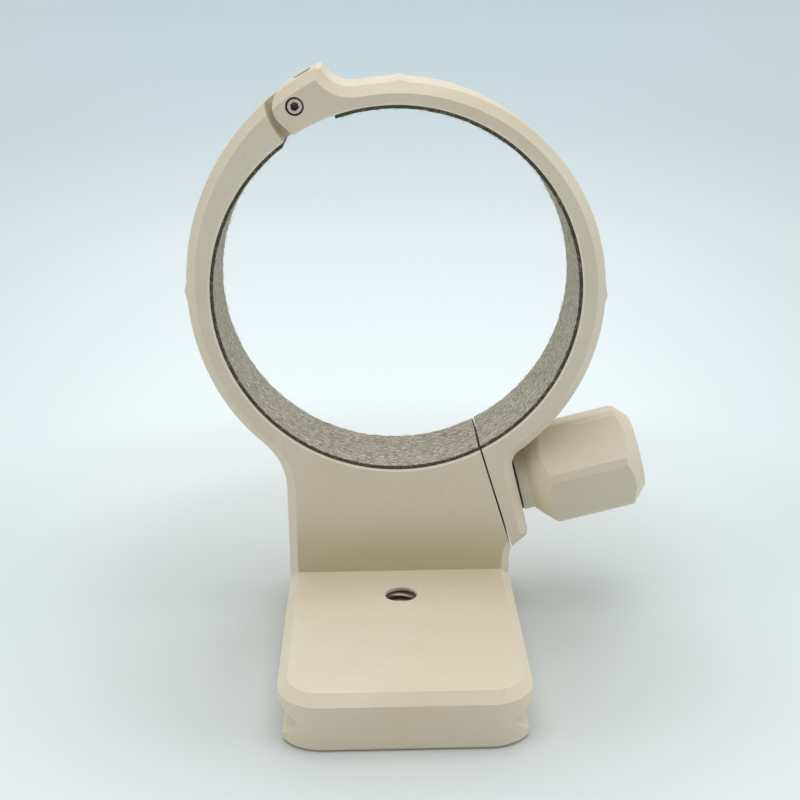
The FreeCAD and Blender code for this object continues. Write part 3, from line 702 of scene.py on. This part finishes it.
@dataclass
class FrayedWool:
    """Loose fibres along a felt strip's rims and here and there on its face."""

    name: str
    body: Body
    start_deg: float
    end_deg: float
    seed: int
    rim_count: int = 150
    face_count: int = 300
    lens_radius: float = 30.85
    half_width: float = 7.9
    axis_height: float = 60.0
    thickness_mm: float = 0.045
    length_mm: tuple[float, float] = (0.5, 1.5)
    end_margin_deg: float = 0.6
    rim_scatter_mm: float = 0.18
    heading_scatter: float = 0.55
    curl_scatter: float = 0.5
    lift_scatter_mm: float = 0.05
    clear_mm: float = 0.02
    arch: float = 3.0
    tip_share: float = 0.35
    overhang_mm: float = 0.04
    joints: int = 4

    def build(self, wool: Material) -> Object:
        """Builds every fibre of the strip as one piece."""
        rng = random.Random(self.seed)
        shape = bmesh.new()
        for number in range(self.rim_count + self.face_count):
            at_rim = number < self.rim_count
            angle = rng.uniform(self.start_deg + self.end_margin_deg, self.end_deg - self.end_margin_deg)
            if at_rim:
                across = rng.choice((-1.0, 1.0)) * (
                    self.half_width - abs(rng.gauss(0.0, self.rim_scatter_mm)))
            else:
                across = rng.uniform(-self.half_width, self.half_width)
            fibre = bmesh.new()
            self._add_fibre(fibre, rng, angle, across)
            pour(fibre, shape)
        fuzz = finish_mesh(self.name, shape, Matrix.Translation((0.0, 0.0, self.axis_height)), None,
                           (wool,))
        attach(fuzz, self.body.value)
        return fuzz

    def _add_fibre(self, shape: BMesh, rng: random.Random, angle_deg: float,
                   across: float) -> None:
        """Adds one three-sided fibre that wanders near the felt's face."""
        heading = rng.gauss(0.0, self.heading_scatter) + rng.choice((0.0, math.pi))
        length = rng.uniform(*self.length_mm)
        curl = rng.gauss(0.0, self.curl_scatter)
        lift = abs(rng.gauss(0.0, self.lift_scatter_mm))
        section = bmesh.ops.create_circle(shape, cap_ends=False, segments=3,
                                          radius=self.thickness_mm / 2.0)["verts"]
        ring_edges = list({edge for vert in section for edge in vert.link_edges})
        turn, place = math.radians(angle_deg), across
        step = length / self.joints
        rings = [section]
        for _ in range(self.joints):
            section, ring_edges = extrude_rim(shape, ring_edges)
            rings.append(section)
        for joint, ring in enumerate(rings):
            share = joint / self.joints
            rise = self.clear_mm + lift * math.sin(math.pi * share) * self.arch
            depth = self.lens_radius - rise
            radial = Vector((math.cos(turn), 0.0, math.sin(turn)))
            tangent = Vector((-math.sin(turn), 0.0, math.cos(turn)))
            axial = Vector((0.0, 1.0, 0.0))
            ahead = tangent * math.cos(heading) + axial * math.sin(heading)
            sideways = ahead.cross(radial)
            centre = radial * depth + axial * place
            spread = Matrix((sideways, radial, ahead)).transposed().to_4x4()
            slim = 1.0 if 0 < joint < self.joints else self.tip_share
            bmesh.ops.transform(shape, verts=ring, matrix=Matrix.Translation(centre) @ spread
                                @ Matrix.Scale(slim, 4))
            turn += step * math.cos(heading) / self.lens_radius
            place += step * math.sin(heading)
            limit = self.half_width + self.overhang_mm
            place = max(-limit, min(limit, place))
            heading += curl / self.joints


@dataclass
class TripodThread:
    """Bare 1/4-20 thread in the foot, its first turn closed by a painted mouth.

    The mouth follows the photograph, where the opening is about 5.9 mm
    across. It covers the model's own chamfer, which opens to 7.25 mm.
    """

    radius: float = 3.175
    crest_radius: float = 2.64
    pitch: float = 1.27
    low: float = 0.4
    high: float = 8.6
    y: float = -17.7
    phase: float = 0.31
    segments: int = 64
    mouth: tuple[tuple[float, float], ...] = (
        (2.95, 9.19), (3.60, 9.19), (3.165, 8.755), (3.165, 8.45), (2.74, 8.45), (2.74, 8.98))

    def build(self, metal: Material, paint: Material) -> Object:
        """Builds the sleeve of bare metal, the ridge on it and the painted mouth.

        Args:
            metal: Bare thread.
            paint: The foot's enamel.

        Returns:
            The finished thread.
        """
        shape = bmesh.new()
        wall = self.radius - ROOT_SINK_MM
        add_tube(shape, [(wall, self.low), (self.radius, self.low), (self.radius, self.high),
                         (wall, self.high)], self.segments)
        ridge = HelicalRidge(wall + 0.01, self.crest_radius, self.pitch, self.low, self.high,
                             Side.INWARD, phase=self.phase)
        ridge.add_to(shape)
        bare_faces = len(shape.faces)
        add_tube(shape, list(self.mouth), self.segments)
        shape.faces.ensure_lookup_table()
        for patch in shape.faces[bare_faces:]:
            patch.material_index = 1
        thread = finish_mesh("tripod_thread", shape, Matrix.Translation((0.0, self.y, 0.0)), 30.0,
                             (metal, paint))
        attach(thread, Body.BASE.value)
        return thread


@dataclass
class ClampScrewAxis:
    """Where the clamp screw's axis runs, and how far along it the split lies."""

    tilt_deg: float = 13.7
    drop: float = 40.95
    axis_height: float = 60.0
    split: float = 7.940

    def place(self) -> Matrix:
        """Placement that takes local Z to the clamp screw's axis."""
        tilt = math.radians(self.tilt_deg)
        origin = Vector((self.drop * math.sin(tilt), 0.0, self.axis_height - self.drop * math.cos(tilt)))
        return Matrix.Translation(origin) @ Matrix.Rotation(math.pi / 2.0 - tilt, 4, "Y")


@dataclass
class StudThread:
    """M5 thread on the clamp stud, either side of its retaining clip."""

    axis: ClampScrewAxis = field(default_factory=ClampScrewAxis)
    root_radius: float = 2.04
    crest_radius: float = 2.48
    pitch: float = 0.8
    tip_depth: float = 14.9
    tip_chamfer: float = 0.6
    clip_depth: float = 5.4
    clip_half: float = 0.45
    neck_above_split: float = 1.4

    def build(self, steel: Material) -> Object:
        """Builds the two runs of thread."""
        split = self.axis.split
        shape = bmesh.new()
        runs = ((split - self.tip_depth + self.tip_chamfer, split - self.clip_depth - self.clip_half),
                (split - self.clip_depth + self.clip_half, split + self.neck_above_split))
        for start, end in runs:
            turns = (start - split) / self.pitch
            ridge = HelicalRidge(self.root_radius - ROOT_SINK_MM, self.crest_radius, self.pitch, start, end,
                                 phase=math.ceil(turns) - turns, steps_per_turn=28)
            ridge.add_to(shape)
        thread = finish_mesh("stud_thread", shape, self.axis.place(), 30.0, (steel,))
        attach(thread, Body.KNOB.value)
        return thread


@dataclass
class HingeScrew:
    """Socket set screw in the front ear, with its thread and hexagon socket."""

    x: float = -16.186
    z: float = 91.427
    front: float = -8.2
    length: float = 2.4
    face_radius: float = 1.16
    root_radius: float = 1.2
    crest_radius: float = 1.49
    pitch: float = 0.5
    flats: float = 1.3
    socket_depth: float = 1.2
    socket_turn_deg: float = 12.0
    face_segments: int = 48
    eased: float = 0.06
    thread_back: float = 0.28
    thread_stop: float = 0.1

    def build(self, bright: Material, dark: Material) -> Object:
        """Builds the screw; local Z points out of the ear's front face.

        Args:
            bright: Plated face.
            dark: A darker copy of the plated steel, painted shade on the flank, thread and socket.

        Returns:
            The finished screw.
        """
        shape = bmesh.new()
        self._face_and_socket(shape)
        self._flank(shape)
        # Plated steel on the front face; the darker copy elsewhere is painted shade.
        for patch in shape.faces:
            patch.material_index = 0 if patch.normal.z > 0.4 and patch.calc_center_median().z > -0.3 else 1
        dark_faces = len(shape.faces)
        ridge = HelicalRidge(self.root_radius - ROOT_SINK_MM, self.crest_radius, self.pitch,
                             -self.length + self.thread_stop, -self.thread_back, steps_per_turn=32)
        ridge.add_to(shape)
        shape.faces.ensure_lookup_table()
        # The thread takes the darker copy too, as painted shade.
        for patch in shape.faces[dark_faces:]:
            patch.material_index = 1
        place = Matrix.Translation((self.x, self.front, self.z)) @ Matrix.Rotation(math.pi / 2.0, 4, "X")
        screw = finish_mesh("hinge_set_screw", shape, place, 30.0, (bright, dark))
        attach(screw, Body.ARM.value)
        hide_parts("hinge_grub_screw")
        return screw

    def _face_and_socket(self, shape: BMesh) -> None:
        """Makes the front face round a hexagon socket with a drilled floor."""
        corner = self.flats / 2.0 / math.cos(math.radians(30.0))
        turn = Matrix.Rotation(math.radians(self.socket_turn_deg), 4, "Z")
        hexagon = bmesh.ops.create_circle(shape, segments=6, radius=corner, matrix=turn)["verts"]
        sides = list({edge for vert in hexagon for edge in vert.link_edges})
        split = bmesh.ops.subdivide_edges(shape, edges=sides, cuts=self.face_segments // 6 - 1)
        socket_rim = [edge for edge in split["geom"] if isinstance(edge, BMEdge)]
        socket_rim = list({*socket_rim, *shape.edges})
        circle = bmesh.ops.create_circle(shape, segments=self.face_segments, radius=self.face_radius,
                                         matrix=turn)["verts"]
        face_rim = list({edge for vert in circle for edge in vert.link_edges})
        bmesh.ops.bridge_loops(shape, edges=socket_rim + face_rim)
        floor, floor_rim = extrude_rim(shape, socket_rim)
        bmesh.ops.translate(shape, verts=floor, vec=(0.0, 0.0, -self.socket_depth))
        bmesh.ops.holes_fill(shape, edges=floor_rim, sides=0)

    def _flank(self, shape: BMesh) -> None:
        """Takes the face's rim back along the screw's core and closes the end."""
        edges = [edge for edge in shape.edges if edge.is_boundary]
        for radius, height in ((self.root_radius, -self.eased), (self.root_radius, -self.length)):
            verts, edges = extrude_rim(shape, edges)
            for vert in verts:
                share = radius / math.hypot(vert.co.x, vert.co.y)
                vert.co = (vert.co.x * share, vert.co.y * share, height)
        bmesh.ops.holes_fill(shape, edges=edges, sides=0)
        bmesh.ops.recalc_face_normals(shape, faces=shape.faces)


@dataclass
class Dressing:
    """Finishes of the nodes that keep their own meshes."""

    enamel: Material
    base_enamel: Material
    steel: Material
    spring_steel: Material
    nylon: Material
    brass: Material

    def apply(self, nodes: dict[str, Object]) -> None:
        """Puts each finish on its nodes."""
        finishes = {"base_body": self.base_enamel, "clamp_arm": self.enamel, "clamp_knob": self.enamel,
                    "hinge_pin": self.steel, "clamp_stud": self.steel,
                    "stud_clip": self.spring_steel, "knob_washer": self.nylon,
                    "clamp_thread_bush": self.brass}
        for name, finish in finishes.items():
            mesh = nodes[name].data
            mesh.materials.clear()
            mesh.materials.append(finish)
            LOG.info("dressed %s with %s", name, finish.name)


@dataclass(frozen=True)
class SoftLamp:
    """A broad, distant softbox; level 1 renders a facing white as white."""

    name: str
    level: float
    from_deg: float
    elevation_deg: float
    spread_deg: float

    def build(self) -> Object:
        """Adds the lamp, its bearing measured from the camera's side towards +X."""
        lamp = bpy.data.lights.new(self.name, "SUN")
        lamp.energy = self.level * math.pi
        lamp.angle = math.radians(self.spread_deg)
        elevation, bearing = math.radians(self.elevation_deg), math.radians(self.from_deg)
        towards = Vector((math.sin(bearing) * math.cos(elevation), -math.cos(bearing) * math.cos(elevation),
                          math.sin(elevation)))
        holder = bpy.data.objects.new(self.name, lamp)
        holder.rotation_euler = towards.to_track_quat("Z", "Y").to_euler()
        bpy.context.scene.collection.objects.link(holder)
        return holder


@dataclass(frozen=True)
class OverheadPanel:
    """A round lit panel hung over the object; level 1 renders the foot's white as white."""

    level: float = 0.25
    radius_m: float = 0.25
    place_m: tuple[float, float, float] = (0.0, 0.0, 0.45)

    def build(self) -> Object:
        """Adds the panel, facing straight down."""
        lamp = bpy.data.lights.new("overhead_panel", "AREA")
        lamp.shape = "DISK"
        lamp.size = 2.0 * self.radius_m
        lamp.energy = self.level * math.pi ** 2 * (self.radius_m ** 2 + self.place_m[2] ** 2)
        holder = bpy.data.objects.new("overhead_panel", lamp)
        holder.location = self.place_m
        bpy.context.scene.collection.objects.link(holder)
        return holder


@dataclass
class Studio:
    """Pale floor, soft lamps above and at the sides, and a sky brighter behind.

    The floor's tones are painted on, matched to the ground of the photograph.
    They run outwards from the object in rings, darker close round it as a
    painted shadow of the object, and change again to the sides of a line
    through the spot stand_m in front, about under the camera.
    """

    floor_radius_m: float = 7.0
    # Tones by distance from the object; the darker first ones are a painted shadow round it.
    rings: tuple[tuple[float, str], ...] = (
        (0.0, "#cbd1cf"), (0.05, "#d2d8d7"), (0.09, "#e2e9ea"), (0.13, "#ebf5f6"), (0.23, "#eaf3f5"),
        (0.34, "#e9f2f4"), (0.50, "#e1eef1"), (0.80, "#daebef"), (1.5, "#d5e9ee"), (3.2, "#cfe4e9"))
    side_tone: str = "#d6e1e3"
    side_slope: tuple[float, float] = (0.08, 0.45)
    stand_m: float = 0.231
    sky_front: float = 0.08
    sky_back: float = 0.52
    wall_tone: str = "#c2d5da"
    lamps: tuple[SoftLamp | OverheadPanel, ...] = (
        OverheadPanel(),
        SoftLamp("ceiling_front", 0.15, 15.0, 73.0, 60.0),
        SoftLamp("ceiling_back", 0.10, 180.0, 80.0, 60.0),
        SoftLamp("window_behind", 0.20, 180.0, 45.0, 60.0),
        SoftLamp("left_wall", 0.245, -70.0, 18.0, 50.0),
        SoftLamp("right_wall", 0.29, 79.0, 18.0, 50.0))

    def build(self) -> None:
        """Builds the floor, the sky and the lamps."""
        self._floor()
        self._sky()
        for lamp in self.lamps:
            lamp.build()

    def _floor(self) -> None:
        """Builds the floor, which isn't part of the object."""
        shape = bmesh.new()
        bmesh.ops.create_circle(shape, cap_ends=True, segments=96, radius=self.floor_radius_m)
        mesh = bpy.data.meshes.new("studio_floor")
        shape.to_mesh(mesh)
        shape.free()
        floor = bpy.data.objects.new("studio_floor", mesh)
        bpy.context.scene.collection.objects.link(floor)
        material, tree, shader = new_material("studio_paper")
        place = object_place(tree)
        away = add_node(tree, "ShaderNodeVectorMath", {0: place}, operation="LENGTH").outputs["Value"]
        # The first rings, darker round the object, are a painted shadow of it.
        tone: str | NodeSocket = self.rings[0][1]
        for (near, _), (far, colour) in zip(self.rings, self.rings[1:]):
            tone = two_tones(tree, away, tone, colour, (near, far))
        tone = two_tones(tree, self._sideways(tree, place), tone, self.side_tone, self.side_slope)
        fill_inputs(tree, shader, {"Base Color": tone, "Roughness": 0.85, "Specular IOR Level": 0.1})
        mesh.materials.append(material)

    def _sideways(self, tree: NodeTree, place: NodeSocket) -> NodeSocket:
        """Slope to the side of a place on the floor, from a fixed spot stand_m in front.

        It reads no camera, and the floor behind the object mirrors the front.
        """
        ground = add_node(tree, "ShaderNodeSeparateXYZ", {"Vector": place})
        across = add_node(tree, "ShaderNodeMath", {0: ground.outputs["X"]}, operation="ABSOLUTE")
        depth = add_node(tree, "ShaderNodeMath", {0: ground.outputs["Y"]}, operation="ABSOLUTE")
        ahead = add_node(tree, "ShaderNodeMath", {0: depth.outputs[0], 1: self.stand_m}, operation="ADD")
        slope = add_node(tree, "ShaderNodeMath", {0: across.outputs[0], 1: ahead.outputs[0]},
                         operation="DIVIDE")
        return slope.outputs[0]

    def _sky(self) -> None:
        """Lights everything softly, less from the camera's side than from behind."""
        world = bpy.data.worlds.new("studio_sky")
        world.use_nodes = True
        tree = world.node_tree
        tree.nodes.clear()
        heading = add_node(tree, "ShaderNodeTexCoord").outputs["Generated"]
        depth = add_node(tree, "ShaderNodeSeparateXYZ", {"Vector": heading}).outputs["Y"]
        level = add_node(tree, "ShaderNodeMapRange", {"Value": depth, "From Min": -1.0, "From Max": 1.0,
                                                      "To Min": self.sky_front,
                                                      "To Max": self.sky_back})
        sky = add_node(tree, "ShaderNodeBackground", {"Color": srgb("#fbfdff"),
                                                      "Strength": level.outputs["Result"]})
        wall = add_node(tree, "ShaderNodeBackground", {"Color": srgb(self.wall_tone)})
        seen = add_node(tree, "ShaderNodeLightPath").outputs["Is Camera Ray"]
        shown = add_node(tree, "ShaderNodeMixShader", {0: seen, 1: sky.outputs[0], 2: wall.outputs[0]})
        add_node(tree, "ShaderNodeOutputWorld", {"Surface": shown.outputs[0]})
        bpy.context.scene.world = world


@dataclass
class PhotoCamera:
    """Camera solved from the photograph's edges."""

    position: tuple[float, float, float] = (-3.758, -231.191, 114.036)
    pitch_down_deg: float = 18.038
    yaw_right_deg: float = 1.054
    roll_deg: float = -0.575
    focal_px: float = 1357.64
    frame_px: float = 800.0
    sensor_mm: float = 36.0
    clip_m: tuple[float, float] = (0.005, 50.0)

    def build(self) -> Object:
        """Builds the camera and makes it the scene's."""
        lens = bpy.data.cameras.new("photo_camera")
        lens.sensor_width = self.sensor_mm
        lens.sensor_fit = "HORIZONTAL"
        lens.lens = self.focal_px / self.frame_px * self.sensor_mm
        lens.clip_start, lens.clip_end = self.clip_m
        lens.dof.use_dof = False
        camera = bpy.data.objects.new("photo_camera", lens)
        pitch, yaw, roll = (math.radians(a) for a in (self.pitch_down_deg, self.yaw_right_deg, self.roll_deg))
        ahead = Vector((math.sin(yaw) * math.cos(pitch), math.cos(yaw) * math.cos(pitch), -math.sin(pitch)))
        level = Vector((math.cos(yaw), -math.sin(yaw), 0.0))
        upright = level.cross(ahead)
        right = level * math.cos(roll) + upright * math.sin(roll)
        up = upright * math.cos(roll) - level * math.sin(roll)
        turn = Matrix((right, up, -ahead)).transposed().to_4x4()
        camera.matrix_world = Matrix.Translation(Vector(self.position) * MM) @ turn
        bpy.context.scene.collection.objects.link(camera)
        bpy.context.scene.camera = camera
        return camera


def main() -> None:
    """Builds the camera, the studio and every dressed piece in order."""
    logging.basicConfig(level=logging.INFO, format="%(name)s: %(message)s")
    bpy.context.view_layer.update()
    PhotoCamera().build()
    Studio().build()
    bpy.context.scene.view_settings.view_transform = "Standard"

    enamel = SatinEnamel().material()
    base_enamel = SatinEnamel("satin_enamel_base", painted_shade="#c9c1a1").material()
    steel = MachinedMetal("plated_steel", "#c9c6c0", "#a59f94", 0.3).material()
    nickel = MachinedMetal("nickel_plate", "#ecd9d0", "#b39c92", 0.34, 0.25, 1.2).material()
    # A darker copy of the set screw's plated metal, as painted shade on its thread and socket.
    shaded_screw_steel = MachinedMetal("screw_steel_painted_shade", "#6a5a52", "#3c322d", 0.4).material()
    spring = MachinedMetal("spring_steel", "#5a5957", "#3a3835", 0.35).material()
    bare = MachinedMetal("bare_aluminium", "#a99f91", "#786e62", 0.38).material()
    brass = MachinedMetal("turned_brass", "#c9a75e", "#a5854a", 0.3).material()
    Dressing(enamel, base_enamel, steel, spring, ShadedNylonWasher().material(), brass).apply(frame["nodes"])

    felt, edge, wool = WoolFelt().material("strip"), DarkFeltEdge().material(), LooseWool().material()
    strips = ((Body.BASE, "base_felt", 126.345, 296.977, 3), (Body.ARM, "arm_felt", -62.477, 108.155, 11))
    for body, node, start, end, seed in strips:
        lining = FeltStrip(f"{node}_lining", node, body, start, end, seed).build(felt, edge)
        fuzz = FrayedWool(f"{node}_fuzz", body, start, end, seed).build(wool)
        LOG.info("built %s and %s", lining.name, fuzz.name)
    threads = (TripodThread().build(bare, enamel), StudThread().build(steel))
    for piece in (*threads, HingeScrew().build(nickel, shaded_screw_steel)):
        LOG.info("built %s, %d faces", piece.name, len(piece.data.polygons))


if __name__ == "__main__":
    main()
